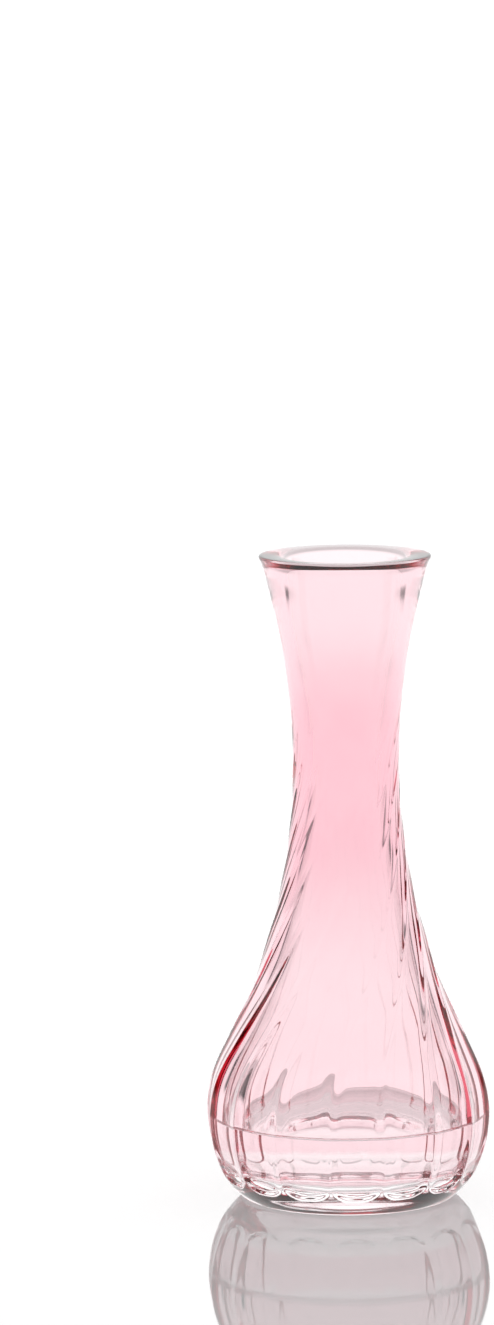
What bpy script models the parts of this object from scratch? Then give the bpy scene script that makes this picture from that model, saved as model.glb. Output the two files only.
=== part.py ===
"""Swirl-fluted glass bud vase with its charge of water.

Frame: metres, +Z up, origin at the centre of the foot, on the surface the
vase stands on. -Y is the front.

vase_body  one blown and pressed piece of glass: a clear heavy foot, a round
           belly with sixteen flutes that start upright at the heel and sweep
           round the shoulder, a narrow smooth-bored neck and a flared lip.
water      what the belly holds, with its level just under the widest point.
"""

import math

import bmesh
import bpy
from mathutils import Vector

MM = 0.001

# ---------------------------------------------------------------- dimensions
HEIGHT = 190.0  # foot to lip, mm
FLUTES = 16
# Points across one flute on the outer skin, from one ridge (-1) to just short of the next (1).
ACROSS = (-1.0, -0.8, -0.5, 0.0, 0.5, 0.8)
FLUTE_PHASE = 2.8  # degrees that one flute's middle stands to the right of the front, at the heel
# Depth of a flute at a height, as a share of the local radius.
FLUTE_DEPTH = ((0.0, 0.029), (28.0, 0.029), (40.0, 0.024), (60.0, 0.020), (80.0, 0.015), (100.0, 0.012))
FLUTE_END = 5.3  # height of the rounded lower end of a flute, at its middle
FLUTE_END_RISE = 2.6  # how much higher the same end stands at the ridges
FLUTE_END_RUN = 1.3  # height over which a flute reaches its depth
FLUTE_FADE = (116.0, 152.0)  # the flutes melt into the plain neck between these heights
PANEL_SAG = 0.5  # how much of a flute's depth is its gentle hollow; the rest is the rib beside it
RIB_START = 0.55  # share of a half flute where the rib begins to rise
SWIRL_LEAN = 0.455  # tangent of the angle between a ridge and the upright, where the swirl is full
SWIRL_START = (26.0, 57.0)  # the ridges bend from upright to their full lean between these heights
SWIRL_STOP = 152.0

FOOT_RING = (21.0, 29.6)  # the flat ring that the vase stands on
PUNT_RISE = 1.4  # hollow under the middle of the foot

# Outer skin, height and radius, before the flutes are pressed in.
OUTER = (
    (0.0, 29.6),  # edge of the standing ring
    (0.35, 31.0),
    (1.1, 32.1),
    (2.6, 33.7),
    (4.2, 35.1),
    (6.0, 36.5),
    (8.0, 37.75),
    (10.5, 38.9),
    (15.0, 40.5),
    (20.0, 41.5),
    (25.5, 41.9),  # widest, the belly
    (31.0, 41.35),
    (36.0, 40.1),
    (41.0, 38.1),
    (46.0, 35.6),
    (51.0, 33.2),
    (56.0, 30.8),
    (61.0, 28.6),
    (67.0, 26.3),
    (73.0, 24.4),
    (80.0, 22.4),
    (87.0, 20.5),
    (94.0, 19.0),
    (101.0, 17.75),
    (108.0, 16.85),
    (115.0, 16.1),
    (123.0, 15.7),
    (131.0, 15.65),  # narrowest, the neck
    (139.0, 15.85),
    (147.0, 16.4),
    (155.0, 17.4),
    (163.0, 18.55),
    (170.0, 19.95),
    (176.0, 21.35),
    (181.0, 22.55),
    (185.0, 23.5),
    (187.6, 24.4),
    (188.9, 25.05),
    (189.4, 25.2),  # edge of the lip
    (189.8, 25.0),
)

# Lip and bore, from the top of the lip down to the inside of the foot.
LIP = ((190.0, 24.2), (189.95, 21.4), (189.7, 19.2))
BORE = (
    (189.0, 17.9),
    (187.4, 17.0),
    (184.0, 16.4),
    (178.0, 15.95),
    (170.0, 15.1),
    (162.0, 13.75),
    (153.0, 12.2),
    (144.0, 10.9),
    (135.0, 10.0),
    (126.0, 9.75),
    (117.0, 10.4),
    (107.0, 11.7),
    (97.0, 13.5),
    (87.0, 15.4),
    (77.0, 17.9),
    (67.0, 21.0),
    (58.0, 24.7),
    (49.0, 28.9),
    (41.0, 33.0),
    (33.0, 36.0),
    (25.5, 36.9),
    (18.0, 36.2),
    (13.5, 34.1),
    (10.4, 31.0),
    (8.8, 26.4),
    (8.1, 19.0),
    (7.9, 9.0),
)
BORE_FLOOR = 7.8  # thickness of the glass under the water, at the axis

WATER_GAP = 0.3  # the water stands this far off the glass
WATER_LEVEL = 23.4  # flat middle of its surface
WATER_EDGE = 24.6  # height that its rim climbs to at the glass
WATER_SEGMENTS = 48


# -------------------------------------------------------------------- shaping
def smooth(low, high, x):
    t = min(1.0, max(0.0, (x - low) / (high - low)))
    return t * t * (3.0 - 2.0 * t)


def radius_at(z, stations):
    """Radius at a height, between stations listed by rising height."""
    for (z0, r0), (z1, r1) in zip(stations, stations[1:]):
        if z0 <= z <= z1:
            return r0 + (r1 - r0) * (z - z0) / (z1 - z0)
    return stations[0][1] if z < stations[0][0] else stations[-1][1]


def swirl(z, steps=240):
    """How far a ridge has turned by this height, in radians, counter-clockwise from above."""
    top = min(z, SWIRL_STOP)
    if top <= SWIRL_START[0]:
        return 0.0
    step = (top - SWIRL_START[0]) / steps
    turned = 0.0
    for i in range(steps):
        at = SWIRL_START[0] + (i + 0.5) * step
        turned += SWIRL_LEAN * smooth(*SWIRL_START, at) / radius_at(at, OUTER) * step
    return turned


def hollow(across):
    """Depth of a flute as a share of its full depth. across runs 0 at its middle to 1 at a ridge."""
    return 1.0 - PANEL_SAG * across * across - (1.0 - PANEL_SAG) * smooth(RIB_START, 1.0, across)


def flute(z, across):
    """How far the outer skin is pressed in, in mm."""
    end = FLUTE_END + FLUTE_END_RISE * across * across
    depth = radius_at(z, FLUTE_DEPTH) * radius_at(z, OUTER)
    depth *= smooth(end, end + FLUTE_END_RUN, z)
    depth *= 1.0 - smooth(*FLUTE_FADE, z)
    return depth * hollow(across)


def ring(bm, z, spots):
    """One closed loop of points at a height, from their angles and radii."""
    return [
        bm.verts.new((r * math.cos(angle) * MM, r * math.sin(angle) * MM, z * MM))
        for angle, r in spots
    ]


def even_spots(count, r, turn=0.0):
    return [(math.tau * i / count + turn, r) for i in range(count)]


def skin_spots(z, r):
    """Points round the outer skin, gathered at the ribs, and evenly spaced where the flutes have faded."""
    per = len(ACROSS)
    half_flute = math.pi / FLUTES
    gathered = 1.0 - smooth(*FLUTE_FADE, z)
    # A ridge stands half a flute to the side of the middle of a flute.
    start = math.radians(-90.0 + FLUTE_PHASE) + swirl(z)
    spots = []
    for i in range(FLUTES * per):
        even = -1.0 + 2.0 * (i % per) / per
        across = even + (ACROSS[i % per] - even) * gathered
        angle = start + (2.0 * (i // per) + 2.0 + across) * half_flute
        spots.append((angle, r - flute(z, abs(across))))
    return spots


def join(bm, low, high):
    """A band of quads between two loops of the same count."""
    count = len(low)
    for i in range(count):
        j = (i + 1) % count
        bm.faces.new((low[i], low[j], high[j], high[i]))


def join_half(bm, fine, coarse):
    """A band between a loop and the loop of half its count that lies inside it."""
    count = len(coarse)
    for i in range(count):
        j = (i + 1) % count
        a, b, c = fine[2 * i], fine[2 * i + 1], fine[(2 * i + 2) % len(fine)]
        bm.faces.new((a, b, coarse[i]))
        bm.faces.new((b, c, coarse[j]))
        bm.faces.new((b, coarse[j], coarse[i]))


def cap(bm, loop, z):
    """A fan from a loop to the axis."""
    centre = bm.verts.new((0.0, 0.0, z * MM))
    for i in range(len(loop)):
        bm.faces.new((loop[(i + 1) % len(loop)], loop[i], centre))


def material(name, colour, roughness, metallic=0.0, transmission=0.0, ior=1.45):
    made = bpy.data.materials.new(name)
    made.use_nodes = True
    shader = made.node_tree.nodes["Principled BSDF"]
    shader.inputs["Base Color"].default_value = (*colour, 1.0)
    shader.inputs["Roughness"].default_value = roughness
    shader.inputs["Metallic"].default_value = metallic
    shader.inputs["Transmission Weight"].default_value = transmission
    shader.inputs["IOR"].default_value = ior
    made.diffuse_color = (*colour, 1.0)
    return made


def finish(bm, name, surface, crease_deg):
    bmesh.ops.recalc_face_normals(bm, faces=bm.faces)
    mesh = bpy.data.meshes.new(name)
    bm.to_mesh(mesh)
    bm.free()
    mesh.materials.append(surface)
    mesh.shade_smooth()
    mesh.set_sharp_from_angle(angle=math.radians(crease_deg))
    made = bpy.data.objects.new(name, mesh)
    bpy.context.scene.collection.objects.link(made)
    return made


# ---------------------------------------------------------------------- parts
def vase_body():
    count = FLUTES * len(ACROSS)
    bm = bmesh.new()
    foot = [angle for angle, _ in skin_spots(0.0, FOOT_RING[1])]
    punt = ring(bm, PUNT_RISE * 0.62, [(angle, FOOT_RING[0] * 0.62) for angle in foot])
    inner_edge = ring(bm, 0.0, [(angle, FOOT_RING[0]) for angle in foot])
    cap(bm, punt, PUNT_RISE)
    join(bm, punt, inner_edge)
    below = inner_edge
    for z, r in OUTER:
        loop = ring(bm, z, skin_spots(z, r))
        join(bm, below, loop)
        below = loop
    turn = math.radians(-90.0 + FLUTE_PHASE + 180.0 / FLUTES) + swirl(HEIGHT)
    loop = ring(bm, LIP[0][0], even_spots(count, LIP[0][1], turn))
    join(bm, below, loop)
    half = count // 2
    below = ring(bm, LIP[1][0], even_spots(half, LIP[1][1], turn))
    join_half(bm, loop, below)
    for z, r in LIP[2:] + BORE:
        loop = ring(bm, z, even_spots(half, r, turn))
        join(bm, below, loop)
        below = loop
    cap(bm, below, BORE_FLOOR)
    glass = material("rose_glass", (0.93, 0.50, 0.58), 0.03, transmission=1.0, ior=1.5)
    return finish(bm, "vase_body", glass, 35.0)


def water():
    """Fills the bottom of the bore, with a rim that climbs a little at the glass."""
    wall = tuple(sorted(BORE))
    bm = bmesh.new()
    floor = BORE_FLOOR + WATER_GAP
    levels = [z for z, _ in wall if z < WATER_LEVEL - 1.0] + [21.5, WATER_EDGE]
    loops = []
    for z in levels:
        r = radius_at(z, wall) - WATER_GAP
        loops.append(ring(bm, max(z + WATER_GAP, floor) if z < 12.0 else z, even_spots(WATER_SEGMENTS, r)))
    cap(bm, loops[0], floor)
    for low, high in zip(loops, loops[1:]):
        join(bm, low, high)
    edge = radius_at(WATER_EDGE, wall) - WATER_GAP
    # The surface drops from the rim to its level within about 3 mm.
    for inward, share in ((0.5, 0.45), (1.5, 0.12), (3.2, 0.0)):
        z = WATER_LEVEL + (WATER_EDGE - WATER_LEVEL) * share
        loop = ring(bm, z, even_spots(WATER_SEGMENTS, edge - inward))
        join(bm, loops[-1], loop)
        loops.append(loop)
    cap(bm, loops[-1], WATER_LEVEL)
    clear = material("water", (0.96, 0.97, 0.97), 0.0, transmission=1.0, ior=1.333)
    return finish(bm, "water", clear, 35.0)


def main():
    for old in list(bpy.data.objects):
        bpy.data.objects.remove(old, do_unlink=True)
    stand = bpy.data.objects.new("bud_vase", None)
    stand.empty_display_size = 0.02
    bpy.context.scene.collection.objects.link(stand)
    for piece in (vase_body(), water()):
        piece.parent = stand
        piece.location = Vector((0.0, 0.0, 0.0))


main()
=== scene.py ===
"""Looks of the swirl-fluted glass bud vase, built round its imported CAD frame.

The vase is one piece of glass with a rose lacquer film on its outside. The film
ends at the heel, so the foot and the bore are clear. Light that is turned back
inside the glass by the coated outside passes the film twice, which is what makes
the crimson lines along the edges and the ridges.

Lengths in the tables are in millimetres, as in the CAD part.
"""

import math

import bpy
from mathutils import Matrix, Vector


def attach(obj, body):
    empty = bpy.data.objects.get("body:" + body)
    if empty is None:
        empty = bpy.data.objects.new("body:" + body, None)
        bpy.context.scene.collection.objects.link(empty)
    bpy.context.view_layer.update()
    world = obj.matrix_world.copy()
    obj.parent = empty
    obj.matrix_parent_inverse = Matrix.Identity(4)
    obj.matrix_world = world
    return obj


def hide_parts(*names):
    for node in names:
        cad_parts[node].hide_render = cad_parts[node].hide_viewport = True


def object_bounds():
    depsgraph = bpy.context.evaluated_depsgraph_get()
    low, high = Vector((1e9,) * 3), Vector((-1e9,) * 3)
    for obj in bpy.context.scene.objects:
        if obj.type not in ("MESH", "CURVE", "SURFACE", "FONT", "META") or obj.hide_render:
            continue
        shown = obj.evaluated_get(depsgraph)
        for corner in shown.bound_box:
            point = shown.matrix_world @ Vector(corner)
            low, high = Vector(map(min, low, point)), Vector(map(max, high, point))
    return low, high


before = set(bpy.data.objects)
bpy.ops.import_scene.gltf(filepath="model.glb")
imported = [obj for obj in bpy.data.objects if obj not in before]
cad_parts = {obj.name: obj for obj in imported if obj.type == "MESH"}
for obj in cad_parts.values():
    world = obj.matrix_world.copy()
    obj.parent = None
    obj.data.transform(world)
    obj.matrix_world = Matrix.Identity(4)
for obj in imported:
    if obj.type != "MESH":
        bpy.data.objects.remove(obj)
cad_low, cad_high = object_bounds()
scene = bpy.context.scene
MM = 0.001

# ------------------------------------------------------------ the vase's shape
FLUTES = 16
FLUTE_PHASE = 2.8
FLUTE_DEPTH = ((0.0, 0.029), (28.0, 0.029), (40.0, 0.024), (60.0, 0.020), (80.0, 0.015), (100.0, 0.012))
FLUTE_END = 5.3
FLUTE_END_RISE = 2.6
FLUTE_END_RUN = 1.3
FLUTE_FADE = (116.0, 152.0)
PANEL_SAG = 0.5  # how much of a flute's depth is its gentle hollow; the rest is the narrow rib beside it
RIB_START = 0.55  # share of a half flute where the rib begins to rise
SWIRL_LEAN = 0.455
SWIRL_START = (26.0, 57.0)
SWIRL_STOP = 152.0
FOOT_RING = (21.0, 29.6)
PUNT_RISE = 1.4
OUTER = (
    (0.0, 29.6), (0.35, 31.0), (1.1, 32.1), (2.6, 33.7), (4.2, 35.1), (6.0, 36.5),
    (8.0, 37.75), (10.5, 38.9), (15.0, 40.5), (20.0, 41.5), (25.5, 41.9), (31.0, 41.35),
    (36.0, 40.1), (41.0, 38.1), (46.0, 35.6), (51.0, 33.2), (56.0, 30.8), (61.0, 28.6),
    (67.0, 26.3), (73.0, 24.4), (80.0, 22.4), (87.0, 20.5), (94.0, 19.0), (101.0, 17.75),
    (108.0, 16.85), (115.0, 16.1), (123.0, 15.7), (131.0, 15.65), (139.0, 15.85),
    (147.0, 16.4), (155.0, 17.4), (163.0, 18.55), (170.0, 19.95), (176.0, 21.35),
    (181.0, 22.55), (185.0, 23.5), (187.6, 24.4), (188.9, 25.05), (189.4, 25.2),
    (189.8, 25.0),
)
LIP = ((190.0, 24.2), (189.95, 21.4), (189.7, 19.2))
BORE = (
    (189.0, 17.9), (187.4, 17.0), (184.0, 16.4), (178.0, 15.95), (170.0, 15.1),
    (162.0, 13.75), (153.0, 12.2), (144.0, 10.9), (135.0, 10.0), (126.0, 9.75),
    (117.0, 10.4), (107.0, 11.7), (97.0, 13.5), (87.0, 15.4), (77.0, 17.9), (67.0, 21.0),
    (58.0, 24.7), (49.0, 28.9), (41.0, 33.0), (33.0, 36.0), (25.5, 36.9), (18.0, 36.2),
    (13.5, 34.1), (10.4, 31.0), (8.8, 26.4), (8.1, 19.0), (7.9, 9.0),
)
BORE_FLOOR = 7.8
WATER_LEVEL = 23.4
WATER_EDGE = 24.6
WATER_WETS = 0.22  # the water runs this far into the wall, so that no film of air lies between them
# Points across half a flute, from its middle to its ridge, closer where the ridge is rounded.
ACROSS = (0.0, 0.3, 0.5, 0.62, 0.72, 0.81, 0.89, 0.95, 1.0)
EASE = 0.02  # the outer skin is drawn this much smaller, to stay inside the CAD model's box

# ------------------------------------------------------------------- finishes
FILM = (0.945, 0.695, 0.745)  # what the lacquer lets through where it is thickest, once and straight on
FILM_THIN = 0.68  # its share on the belly and the flare, next to that on the neck
FILM_THICK = (66.0, 108.0, 138.0, 176.0)  # it is thickest between the middle two heights
TURNED = (0.82, 0.22, 0.29)  # what is left of light that the coated outside turns back, straight on
TURNED_HIGH, TURNED_LIP = (150.0, 178.0), 0.2  # above these heights only this share of it counts
FILM_LOW = (9.2, 11.0)  # the film thins out to nothing between these heights
FILM_HIGH = (187.6, 188.8)


def smooth(low, high, x):
    t = min(1.0, max(0.0, (x - low) / (high - low)))
    return t * t * (3.0 - 2.0 * t)


def along(points, step):
    """Points about one step apart on the smooth curve through these points."""
    made = []
    n = len(points)
    for i in range(n - 1):
        b, c = Vector(points[i]), Vector(points[i + 1])
        a = Vector(points[i - 1]) if i else b + (b - c)
        d = Vector(points[i + 2]) if i + 2 < n else c + (c - b)
        ta, tb, tc = (math.sqrt(max(1e-9, (q - p).length)) for p, q in ((a, b), (b, c), (c, d)))
        t0, t1, t2, t3 = 0.0, ta, ta + tb, ta + tb + tc
        parts = max(1, math.ceil((c - b).length / step(*b)))
        for k in range(parts):
            t = t1 + (t2 - t1) * k / parts
            p = a * ((t1 - t) / (t1 - t0)) + b * ((t - t0) / (t1 - t0))
            q = b * ((t2 - t) / (t2 - t1)) + c * ((t - t1) / (t2 - t1))
            r = c * ((t3 - t) / (t3 - t2)) + d * ((t - t2) / (t3 - t2))
            u = p * ((t2 - t) / (t2 - t0)) + q * ((t - t0) / (t2 - t0))
            v = q * ((t3 - t) / (t3 - t1)) + r * ((t - t1) / (t3 - t1))
            made.append(u * ((t2 - t) / (t2 - t1)) + v * ((t - t1) / (t2 - t1)))
    made.append(Vector(points[-1]))
    return made


def radius_on(line, z):
    """Radius at a height on a line of (z, r) points that rises throughout."""
    low, high = 0, len(line) - 1
    if z <= line[0][0]:
        return line[0][1]
    if z >= line[-1][0]:
        return line[-1][1]
    while high - low > 1:
        mid = (low + high) // 2
        if line[mid][0] <= z:
            low = mid
        else:
            high = mid
    (z0, r0), (z1, r1) = line[low], line[high]
    return r0 + (r1 - r0) * (z - z0) / max(1e-9, z1 - z0)


def skin_step(z, r):
    if z < 12.0:
        return 0.4
    if z < 60.0:
        return 0.8
    if z < 150.0:
        return 1.2
    return 1.4 if z < 186.0 else 0.3


SKIN = along(OUTER, skin_step)
OUTER_LINE = [(p[0], p[1]) for p in SKIN]

TURN = [0.0]
for _i in range(1, 1901):
    _z = (_i - 0.5) * 0.1
    _lean = SWIRL_LEAN * smooth(*SWIRL_START, _z) if _z < SWIRL_STOP else 0.0
    TURN.append(TURN[-1] + _lean / radius_on(OUTER_LINE, _z) * 0.1)


def swirl(z):
    at = min(1899.0, max(0.0, z * 10.0))
    i = int(at)
    return TURN[i] + (TURN[i + 1] - TURN[i]) * (at - i)


def hollow(across):
    """Depth of a flute as a share of its full depth. across runs 0 at its middle to 1 at a ridge."""
    return 1.0 - PANEL_SAG * across * across - (1.0 - PANEL_SAG) * smooth(RIB_START, 1.0, across)


def flute(z, r, across):
    end = FLUTE_END + FLUTE_END_RISE * across * across
    depth = radius_on(FLUTE_DEPTH, z) * r * smooth(end, end + FLUTE_END_RUN, z)
    return depth * (1.0 - smooth(*FLUTE_FADE, z)) * hollow(across)


class Shell:
    """Rings of points round the Z axis, joined into one closed mesh."""

    def __init__(self):
        self.points, self.faces, self.kinds = [], [], []

    def point(self, x, y, z):
        self.points.append((x * MM, y * MM, z * MM))
        return len(self.points) - 1

    def ring(self, z, angles, radius_of):
        return [
            self.point(radius_of(i) * math.cos(a), radius_of(i) * math.sin(a), z)
            for i, a in enumerate(angles)
        ]

    def face(self, kind, *corners):
        self.faces.append(corners)
        self.kinds.append(kind)

    def join(self, low, high, kind=0):
        n = len(low)
        for i in range(n):
            j = (i + 1) % n
            self.face(kind, low[i], low[j], high[j], high[i])

    def join_half(self, fine, coarse, kind=0):
        n = len(coarse)
        for i in range(n):
            j = (i + 1) % n
            a, b, c = fine[2 * i], fine[2 * i + 1], fine[(2 * i + 2) % len(fine)]
            self.face(kind, a, b, coarse[i])
            self.face(kind, b, c, coarse[j])
            self.face(kind, b, coarse[j], coarse[i])

    def cap(self, loop, z, kind=0, flip=False):
        centre = self.point(0.0, 0.0, z)
        n = len(loop)
        for i in range(n):
            j = (i + 1) % n
            self.face(kind, *((loop[j], loop[i], centre) if flip else (loop[i], loop[j], centre)))

    def make(self, name, materials, crease=40.0):
        mesh = bpy.data.meshes.new(name)
        mesh.from_pydata(self.points, [], self.faces)
        for m in materials:
            mesh.materials.append(m)
        mesh.polygons.foreach_set("material_index", self.kinds)
        mesh.shade_smooth()
        mesh.set_sharp_from_angle(angle=math.radians(crease))
        mesh.update()
        made = bpy.data.objects.new(name, mesh)
        scene.collection.objects.link(made)
        return made


# ------------------------------------------------------------------ materials
def new_material(name):
    m = bpy.data.materials.new(name)
    m.use_nodes = True
    return m, m.node_tree.nodes, m.node_tree.links, m.node_tree.nodes["Principled BSDF"]


def put(nodes, kind, **values):
    n = nodes.new(kind)
    for k, v in values.items():
        setattr(n, k, v)
    return n


def ramp(nodes, links, source, low, high, rise=True):
    """0 to 1 as the source goes from low to high, or 1 to 0."""
    n = put(nodes, "ShaderNodeMapRange", interpolation_type="SMOOTHSTEP")
    links.new(source, n.inputs["Value"])
    n.inputs["From Min"].default_value, n.inputs["From Max"].default_value = low, high
    n.inputs["To Min"].default_value, n.inputs["To Max"].default_value = (0.0, 1.0) if rise else (1.0, 0.0)
    return n.outputs["Result"]


def sums(nodes, links, how, a, b):
    n = put(nodes, "ShaderNodeMath", operation=how)
    for i, x in enumerate((a, b)):
        if isinstance(x, (int, float)):
            n.inputs[i].default_value = x
        else:
            links.new(x, n.inputs[i])
    return n.outputs[0]


def blend_colour(nodes, links, share, a, b):
    n = put(nodes, "ShaderNodeMix", data_type="RGBA", blend_type="MIX")
    links.new(share, n.inputs[0])
    for i, x in ((6, a), (7, b)):
        if isinstance(x, tuple):
            n.inputs[i].default_value = (*x, 1.0)
        else:
            links.new(x, n.inputs[i])
    return n.outputs[2]


def noise(nodes, links, place, scale, detail=2.0, rough=0.5):
    n = put(nodes, "ShaderNodeTexNoise")
    links.new(place, n.inputs["Vector"])
    n.inputs["Scale"].default_value = scale
    n.inputs["Detail"].default_value = detail
    n.inputs["Roughness"].default_value = rough
    return n.outputs["Fac"]


def coated_glass():
    """Glass with the rose film on it. Its colour is what two passes of the film let through."""
    m, nodes, links, shader = new_material("rose_lacquered_glass")
    place = put(nodes, "ShaderNodeTexCoord").outputs["Object"]
    split = put(nodes, "ShaderNodeSeparateXYZ")
    links.new(place, split.inputs[0])
    edge = noise(nodes, links, place, 260.0, 3.0)
    wander = sums(nodes, links, "MULTIPLY", sums(nodes, links, "SUBTRACT", edge, 0.5), 1.6 * MM)
    z = sums(nodes, links, "ADD", split.outputs["Z"], wander)
    low = ramp(nodes, links, z, FILM_LOW[0] * MM, FILM_LOW[1] * MM)
    high = ramp(nodes, links, split.outputs["Z"], FILM_HIGH[0] * MM, FILM_HIGH[1] * MM, rise=False)
    film = sums(nodes, links, "MULTIPLY", low, high)
    # Overspray: specks of lacquer on the clear foot.
    specks = ramp(nodes, links, noise(nodes, links, place, 900.0, 1.0), 0.72, 0.76)
    near = ramp(nodes, links, split.outputs["Z"], 1.0 * MM, 4.5 * MM)
    film = sums(nodes, links, "MAXIMUM", film, sums(nodes, links, "MULTIPLY", specks, sums(nodes, links, "MULTIPLY", near, high)))
    # The spray lies a little thicker here and there.
    thick = ramp(nodes, links, noise(nodes, links, place, 45.0, 2.0), 0.2, 0.8)
    film = sums(nodes, links, "MULTIPLY", film, sums(nodes, links, "ADD", sums(nodes, links, "MULTIPLY", thick, 0.10), 0.90))
    a, b, c, d = (h * MM for h in FILM_THICK)
    neck = sums(nodes, links, "MULTIPLY", ramp(nodes, links, split.outputs["Z"], a, b), ramp(nodes, links, split.outputs["Z"], c, d, rise=False))
    coat = sums(nodes, links, "ADD", sums(nodes, links, "MULTIPLY", neck, 1.0 - FILM_THIN), FILM_THIN)
    twice = tuple(c * c for c in FILM)
    share = sums(nodes, links, "MULTIPLY", film, coat)
    links.new(blend_colour(nodes, links, share, (0.99, 0.995, 0.993), twice), shader.inputs["Base Color"])
    # Light turned back inside the glass goes through the film on its way out and back.
    fresnel = put(nodes, "ShaderNodeFresnel")
    fresnel.inputs["IOR"].default_value = 1.5
    turned = sums(nodes, links, "GREATER_THAN", fresnel.outputs[0], 0.98)
    turned = sums(nodes, links, "MULTIPLY", turned, film)
    # In the thick lip it is turned back many times over, and the film is thinner there.
    lip = ramp(nodes, links, split.outputs["Z"], TURNED_HIGH[0] * MM, TURNED_HIGH[1] * MM, rise=False)
    turned = sums(nodes, links, "MULTIPLY", turned, sums(nodes, links, "ADD", sums(nodes, links, "MULTIPLY", lip, 1.0 - TURNED_LIP), TURNED_LIP))
    links.new(blend_colour(nodes, links, turned, (1.0, 1.0, 1.0), TURNED), shader.inputs["Coat Tint"])
    shader.inputs["Coat Weight"].default_value = 1.0
    shader.inputs["Coat IOR"].default_value = 1.0
    shader.inputs["Coat Roughness"].default_value = 0.0
    shader.inputs["Transmission Weight"].default_value = 1.0
    shader.inputs["IOR"].default_value = 1.5
    shader.inputs["Roughness"].default_value = 0.0
    m.diffuse_color = (0.93, 0.62, 0.69, 1.0)
    return m


def clear_glass():
    """The uncoated glass of the bore and the underside."""
    m, nodes, links, shader = new_material("clear_glass")
    place = put(nodes, "ShaderNodeTexCoord").outputs["Object"]
    cloud = ramp(nodes, links, noise(nodes, links, place, 60.0, 2.0), 0.3, 0.7)
    links.new(
        blend_colour(nodes, links, cloud, (0.992, 0.996, 0.994), (0.985, 0.99, 0.988)),
        shader.inputs["Base Color"],
    )
    shader.inputs["Transmission Weight"].default_value = 1.0
    shader.inputs["IOR"].default_value = 1.5
    shader.inputs["Roughness"].default_value = 0.0
    m.diffuse_color = (0.97, 0.98, 0.98, 1.0)
    return m


def clear_water():
    m, nodes, links, shader = new_material("clear_water")
    place = put(nodes, "ShaderNodeTexCoord").outputs["Object"]
    cloud = ramp(nodes, links, noise(nodes, links, place, 40.0, 2.0), 0.3, 0.7)
    links.new(
        blend_colour(nodes, links, cloud, (0.985, 0.992, 0.992), (0.975, 0.985, 0.985)),
        shader.inputs["Base Color"],
    )
    shader.inputs["Transmission Weight"].default_value = 1.0
    shader.inputs["IOR"].default_value = 1.333
    shader.inputs["Roughness"].default_value = 0.0
    m.diffuse_color = (0.96, 0.98, 0.98, 1.0)
    return m


# ---------------------------------------------------------------------- pieces
def build_vase(coated, clear):
    half = list(ACROSS)
    signed = [-a for a in reversed(half[1:])] + half[:-1]  # from one ridge to just short of the next
    per = len(signed)
    count = FLUTES * per
    pitch = math.tau / FLUTES
    start = math.radians(-90.0 + FLUTE_PHASE)
    middle = [start + pitch * (i // per) + signed[i % per] * pitch / 2 for i in range(count)]
    across = [abs(signed[i % per]) for i in range(count)]

    def turned(angles, by):
        return [a + by for a in angles]

    shell = Shell()
    hub = shell.ring(PUNT_RISE * 0.62, middle, lambda i: FOOT_RING[0] * 0.62)
    shell.cap(hub, PUNT_RISE, 1, flip=True)
    below = hub
    for share in (0.78, 0.9, 0.97):
        loop = shell.ring(PUNT_RISE * (1.0 - share ** 2) * 0.98, middle, lambda i: FOOT_RING[0] * share)
        shell.join(below, loop, 1)
        below = loop
    for r in (FOOT_RING[0], 24.0, 27.0, 29.1):
        loop = shell.ring(0.0, middle, lambda i: r)
        shell.join(below, loop, 1)
        below = loop
    for p in SKIN:
        z, r = min(p[0], 190.0), p[1]
        loop = shell.ring(z, turned(middle, swirl(z)), lambda i: r - EASE - flute(z, r, across[i]))
        shell.join(below, loop, 0)
        below = loop
    top = turned(middle, swirl(189.0))
    rim = along((OUTER[-2], OUTER[-1]) + LIP + BORE, lambda z, r: 0.35 if z > 186.0 else (1.2 if z > 14.0 else 0.9))
    # The part past the outer skin's last ring, as far as the top of the lip, keeps the full count.
    rim = [p for k, p in enumerate(rim) if k > 0]
    skip = 0
    while rim[skip][1] > OUTER[-1][1] - 1e-6 or rim[skip][0] < OUTER[-1][0] - 1e-6 and rim[skip][1] > 24.9:
        skip += 1
    rim = rim[skip:]
    k = 0
    while rim[k][1] > 22.0:
        z, r = min(rim[k][0], 190.0), rim[k][1]
        loop = shell.ring(z, top, lambda i: r)
        shell.join(below, loop, 1)
        below = loop
        k += 1
    halved = top[::2]
    z, r = min(rim[k][0], 190.0), rim[k][1]
    loop = shell.ring(z, halved, lambda i: r)
    shell.join_half(below, loop, 1)
    below = loop
    for p in rim[k + 1:]:
        loop = shell.ring(min(p[0], 190.0), halved, lambda i: p[1])
        shell.join(below, loop, 1)
        below = loop
    shell.cap(below, BORE_FLOOR, 1)
    return shell.make("vase_glass", [coated, clear])


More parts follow.
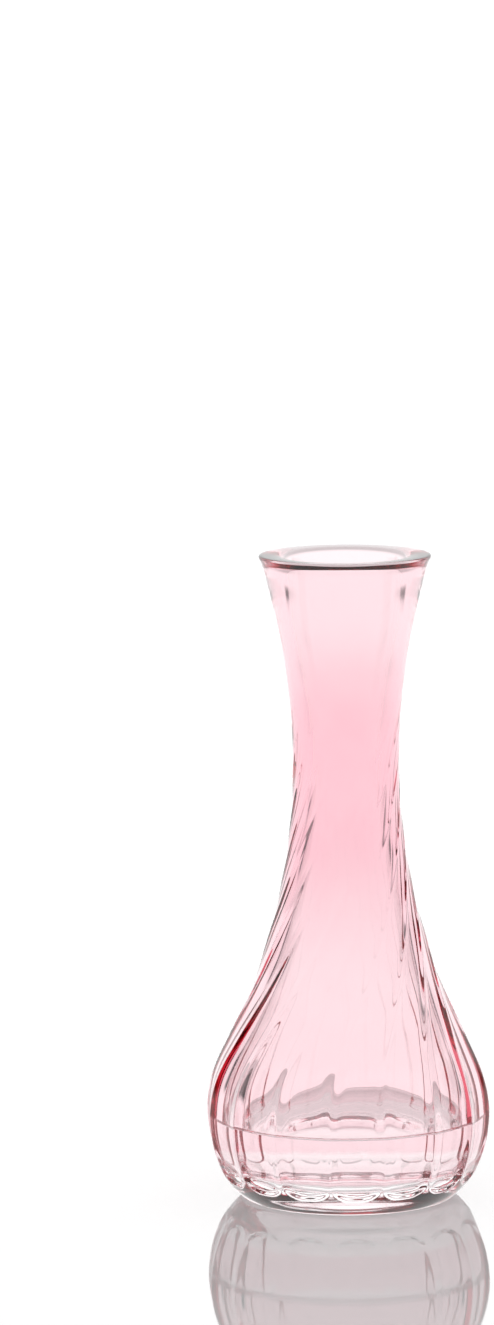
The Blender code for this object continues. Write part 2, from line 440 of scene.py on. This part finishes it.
def build_water(surface):
    wall = along(tuple(sorted(BORE)), lambda z, r: 0.8)
    wall = [(p[0], p[1]) for p in wall]
    count = 192
    angles = [math.tau * i / count for i in range(count)]
    shell = Shell()
    below = None
    levels = [p for p in wall if p[0] < WATER_EDGE - 0.2]
    for i, (z, r) in enumerate(levels):
        # Set back along the wall's own normal, a little into the glass.
        z0, r0 = wall[max(0, i - 1)]
        z1, r1 = wall[i + 1]
        run = math.hypot(z1 - z0, r1 - r0)
        nz, nr = -(r1 - r0) / run, (z1 - z0) / run
        loop = shell.ring(z + nz * WATER_WETS, angles, lambda k: r + nr * WATER_WETS)
        if below is None:
            shell.cap(loop, BORE_FLOOR - WATER_WETS, 0, flip=True)
        else:
            shell.join(below, loop)
        below = loop
    edge = radius_on(wall, WATER_EDGE)
    climb = WATER_EDGE - WATER_LEVEL
    rows = [(WATER_EDGE, edge + WATER_WETS)]
    for inward in (-0.05, 0.08, 0.2, 0.35, 0.55, 0.8, 1.1, 1.5, 2.0, 2.7, 3.6, 4.8, 6.5, 9.0):
        rows.append((WATER_LEVEL + climb * math.exp(-max(0.0, inward) / 0.85), edge - inward))
    for r in (24.0, 18.0, 12.0, 6.0):
        rows.append((WATER_LEVEL, r))
    for z, r in rows:
        loop = shell.ring(z, angles, lambda k: r)
        shell.join(below, loop)
        below = loop
    shell.cap(below, WATER_LEVEL)
    return shell.make("vase_water", [surface])


vase = build_vase(coated_glass(), clear_glass())
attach(vase, "root")
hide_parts("vase_body")

water = build_water(clear_water())
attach(water, "root")
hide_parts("water")


# ----------------------------------------------------------------------- stage
SKY = 1.15  # brightness of the white studio
TOP_BAND, TOP_DIM = (0.14, 0.19, 0.26, 0.32), 0.0
LOW_BAND, LOW_DIM = (-0.55, -0.25), 0.46
# Dark parts of the studio: degrees to the right of the back, degrees up, and how dark.
DARK = (
    ((-84.0, -76.0, -55.0, -46.0), (-3.0, 4.0, 16.0, 21.0), 0.97),
    ((46.0, 55.0, 76.0, 84.0), (-3.0, 4.0, 16.0, 21.0), 0.85),
)
FLOOR_MIRROR = 1.9  # how much stronger than bare glass the floor mirrors
FLOOR_WHITE = 0.7
MIRROR_GREY = 0.49  # the floor's mirror image is dimmer than the thing itself
MIRRORED_SKY = 2.4  # what a mirror shows of the open studio, which keeps the bare floor white


def flat_piece(name, corners, material):
    mesh = bpy.data.meshes.new(name)
    mesh.from_pydata(corners, [], [tuple(range(len(corners)))])
    mesh.materials.append(material)
    made = bpy.data.objects.new(name, mesh)
    scene.collection.objects.link(made)
    return made


def floor_material():
    """Polished white acrylic: a white body under a mirror that grows towards grazing."""
    m, nodes, links, shader = new_material("white_acrylic")
    place = put(nodes, "ShaderNodeTexCoord").outputs["Object"]
    cloud = ramp(nodes, links, noise(nodes, links, place, 3.0, 2.0), 0.2, 0.8)
    links.new(blend_colour(nodes, links, cloud, (FLOOR_WHITE - 0.01,) * 3, (FLOOR_WHITE + 0.01,) * 3), shader.inputs["Base Color"])
    shader.inputs["Roughness"].default_value = 1.0
    shader.inputs["Specular IOR Level"].default_value = 0.0
    mirror = put(nodes, "ShaderNodeBsdfGlossy")
    mirror.inputs["Roughness"].default_value = 0.035
    mirror.inputs["Color"].default_value = (MIRROR_GREY, MIRROR_GREY, MIRROR_GREY, 1.0)
    fresnel = put(nodes, "ShaderNodeFresnel")
    fresnel.inputs["IOR"].default_value = 1.5
    share = sums(nodes, links, "MULTIPLY", fresnel.outputs[0], FLOOR_MIRROR)
    share.node.use_clamp = True
    mix = put(nodes, "ShaderNodeMixShader")
    links.new(share, mix.inputs[0])
    links.new(shader.outputs[0], mix.inputs[1])
    links.new(mirror.outputs[0], mix.inputs[2])
    links.new(mix.outputs[0], nodes["Material Output"].inputs["Surface"])
    return m


floor_z = cad_low[2] - 0.0001
acrylic = floor_material()
floor = flat_piece(
    "floor",
    [(x, y, floor_z) for x, y in ((-2.6, -2.6), (2.6, -2.6), (2.6, 2.6), (-2.6, 2.6))],
    acrylic,
)
# Through the glass the studio shows in its place, which is dimmer the steeper a ray goes down.
floor.visible_transmission = False
floor.visible_glossy = False

world = bpy.data.worlds.new("studio")
scene.world = world
world.use_nodes = True
wn, wl = world.node_tree.nodes, world.node_tree.links
back = wn["Background"]
facing = put(wn, "ShaderNodeTexCoord").outputs["Generated"]
axes = put(wn, "ShaderNodeSeparateXYZ")
wl.new(facing, axes.inputs[0])
# What shows through the glass: white ahead and overhead, dimmer towards the floor, and dark at the sides, where the
# studio is unlit. The band over the top of the backdrop dims it by TOP_DIM, which is 0.
path = put(wn, "ShaderNodeLightPath")
rise = axes.outputs["Z"]
turn = sums(wn, wl, "ARCTAN2", axes.outputs["X"], axes.outputs["Y"])


def band(source, a, b, c, d):
    """1 between b and c, falling to 0 at a and d."""
    return sums(wn, wl, "MULTIPLY", ramp(wn, wl, source, a, b), ramp(wn, wl, source, c, d, rise=False))


dark = 0.0
for turns, rises, share in DARK:
    corner = sums(wn, wl, "MULTIPLY", band(turn, *[math.radians(a) for a in turns]), band(rise, *[math.sin(math.radians(a)) for a in rises]))
    dark = sums(wn, wl, "MAXIMUM", dark, sums(wn, wl, "MULTIPLY", corner, share))
dim = sums(wn, wl, "MULTIPLY", band(rise, *TOP_BAND), TOP_DIM)
dim = sums(wn, wl, "ADD", dim, sums(wn, wl, "MULTIPLY", ramp(wn, wl, rise, *LOW_BAND, rise=False), LOW_DIM))
seen = sums(wn, wl, "MULTIPLY", sums(wn, wl, "MAXIMUM", dim, dark), path.outputs["Is Transmission Ray"])
# The glass mirrors perfectly sharply and the floor a little roughly, which tells them apart:
# the glass reflects the dark sides as well, and the floor a bright open studio.
reflected = sums(wn, wl, "MULTIPLY", path.outputs["Is Glossy Ray"], path.outputs["Is Singular Ray"])
seen = sums(wn, wl, "MAXIMUM", seen, sums(wn, wl, "MULTIPLY", dark, reflected))
mirrored = sums(wn, wl, "MULTIPLY", path.outputs["Is Glossy Ray"], sums(wn, wl, "SUBTRACT", 1.0, path.outputs["Is Transmission Ray"]))
mirrored = sums(wn, wl, "MULTIPLY", mirrored, sums(wn, wl, "SUBTRACT", 1.0, path.outputs["Is Singular Ray"]))
open_sky = sums(wn, wl, "ADD", SKY, sums(wn, wl, "MULTIPLY", mirrored, MIRRORED_SKY - SKY))
wl.new(sums(wn, wl, "MULTIPLY", open_sky, sums(wn, wl, "SUBTRACT", 1.0, seen)), back.inputs["Strength"])
back.inputs["Color"].default_value = (1.0, 1.0, 1.0, 1.0)

scene.view_settings.view_transform = "Standard"
scene.view_settings.look = "None"
scene.view_settings.exposure = 0.0
scene.view_settings.gamma = 1.0
scene.cycles.max_bounces = 32
scene.cycles.transmission_bounces = 32
scene.cycles.glossy_bounces = 32
scene.cycles.diffuse_bounces = 4
scene.cycles.caustics_reflective = True
scene.cycles.caustics_refractive = True
scene.cycles.blur_glossy = 0.0

# ---------------------------------------------------------------------- camera
camera = bpy.data.cameras.new("camera")
camera.sensor_width = 36.0
camera.lens = 178.63
camera.clip_start = 0.05
camera.clip_end = 60.0
camera.dof.use_dof = False
eye = bpy.data.objects.new("camera", camera)
scene.collection.objects.link(eye)
eye.matrix_world = (
    Matrix.Translation((-0.0287, -1.900, 0.422))
    @ Matrix.Rotation(math.radians(90.0 - 7.90), 4, "X")
    @ Matrix.Rotation(math.radians(-0.45), 4, "Z")
)
scene.camera = eye
